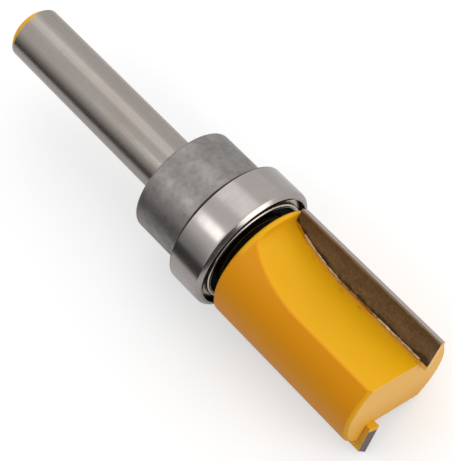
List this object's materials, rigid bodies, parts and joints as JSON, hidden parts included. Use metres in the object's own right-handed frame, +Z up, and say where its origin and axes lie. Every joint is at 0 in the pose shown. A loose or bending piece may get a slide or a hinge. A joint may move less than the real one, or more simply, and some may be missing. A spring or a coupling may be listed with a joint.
{
  "type": "straight router bit",
  "caption": "Straight pattern router bit: shank with a stop collar and a shielded guide bearing above a fluted cutter head with brazed carbide blades.",
  "frame": {"origin": "on the floor under the middle of the bounding box of the tool as it lies", "axes": "+X runs from the shank to the tip, level; the tool's own axis lies in the XZ plane and dips 4.7 degrees towards the tip; +Z is up"},
  "size_m": [0.074, 0.019, 0.0193],
  "materials": {
    "painted_body": "golden yellow lacquer on the head and hub, bare ground steel on the shank",
    "carbide": "dark, finely ground tungsten carbide",
    "braze": "light tan silver braze, slightly uneven",
    "collar_steel": "matt grey, mottled",
    "screw_steel": "black oxide",
    "washer_steel": "rolled, dull",
    "bearing_steel": "finely ground and honed",
    "shield_steel": "pressed sheet, satin",
    "ball_steel": "mirror polished",
    "cage_steel": "pressed ribbon, bright"
  },
  "bodies": {
    "cutter": {"cutter_body": "painted_body", "carbide_blade_1": "carbide", "carbide_blade_2": "carbide", "braze_seam_1": "braze", "braze_seam_2": "braze", "bearing_inner_ring": "bearing_steel", "spacer_washer": "washer_steel", "stop_collar": "collar_steel", "grub_screw": "screw_steel"},
    "outer_race": {"bearing_outer_ring": "bearing_steel", "upper_shield": "shield_steel", "lower_shield": "shield_steel"},
    "cage": {"cage_upper_half": "cage_steel", "cage_lower_half": "cage_steel", "cage_rivets": "cage_steel"},
    "ball_1_body": {"ball_1": "ball_steel"},
    "ball_2_body": {"ball_2": "ball_steel"},
    "ball_3_body": {"ball_3": "ball_steel"},
    "ball_4_body": {"ball_4": "ball_steel"},
    "ball_5_body": {"ball_5": "ball_steel"},
    "ball_6_body": {"ball_6": "ball_steel"},
    "ball_7_body": {"ball_7": "ball_steel"}
  },
  "joints": [
    {"name": "bearing_spin", "type": "hinge", "parent": "cutter", "child": "outer_race", "pos_m": [0.00635, 0, 0.00963], "axis": [0.9966, 0, -0.0821], "continuous": true},
    {"name": "cage_spin", "type": "hinge", "parent": "cutter", "child": "cage", "pos_m": [0.00635, 0, 0.00963], "axis": [0.9966, 0, -0.0821], "continuous": true},
    {"name": "ball_1_spin", "type": "hinge", "parent": "cage", "child": "ball_1_body", "pos_m": [0.00684, 0.00324, 0.01553], "axis": [0.9966, 0, -0.0821], "continuous": true},
    {"name": "ball_2_spin", "type": "hinge", "parent": "cage", "child": "ball_2_body", "pos_m": [0.00686, -0.00261, 0.01584], "axis": [0.9966, 0, -0.0821], "continuous": true},
    {"name": "ball_3_spin", "type": "hinge", "parent": "cage", "child": "ball_3_body", "pos_m": [0.0065, -0.00649, 0.01147], "axis": [0.9966, 0, -0.0821], "continuous": true},
    {"name": "ball_4_spin", "type": "hinge", "parent": "cage", "child": "ball_4_body", "pos_m": [0.00603, -0.00549, 0.00572], "axis": [0.9966, 0, -0.0821], "continuous": true},
    {"name": "ball_5_spin", "type": "hinge", "parent": "cage", "child": "ball_5_body", "pos_m": [0.0058, -0.00035, 0.00291], "axis": [0.9966, 0, -0.0821], "continuous": true},
    {"name": "ball_6_spin", "type": "hinge", "parent": "cage", "child": "ball_6_body", "pos_m": [0.00598, 0.00505, 0.00517], "axis": [0.9966, 0, -0.0821], "continuous": true},
    {"name": "ball_7_spin", "type": "hinge", "parent": "cage", "child": "ball_7_body", "pos_m": [0.00645, 0.00665, 0.01079], "axis": [0.9966, 0, -0.0821], "continuous": true}
  ],
  "couplings": [
    {"joint": "cage_spin", "follows": "bearing_spin", "ratio": 0.61111},
    {"joint": "ball_1_spin", "follows": "bearing_spin", "ratio": 2.1389},
    {"joint": "ball_2_spin", "follows": "bearing_spin", "ratio": 2.1389},
    {"joint": "ball_3_spin", "follows": "bearing_spin", "ratio": 2.1389},
    {"joint": "ball_4_spin", "follows": "bearing_spin", "ratio": 2.1389},
    {"joint": "ball_5_spin", "follows": "bearing_spin", "ratio": 2.1389},
    {"joint": "ball_6_spin", "follows": "bearing_spin", "ratio": 2.1389},
    {"joint": "ball_7_spin", "follows": "bearing_spin", "ratio": 2.1389}
  ]
}
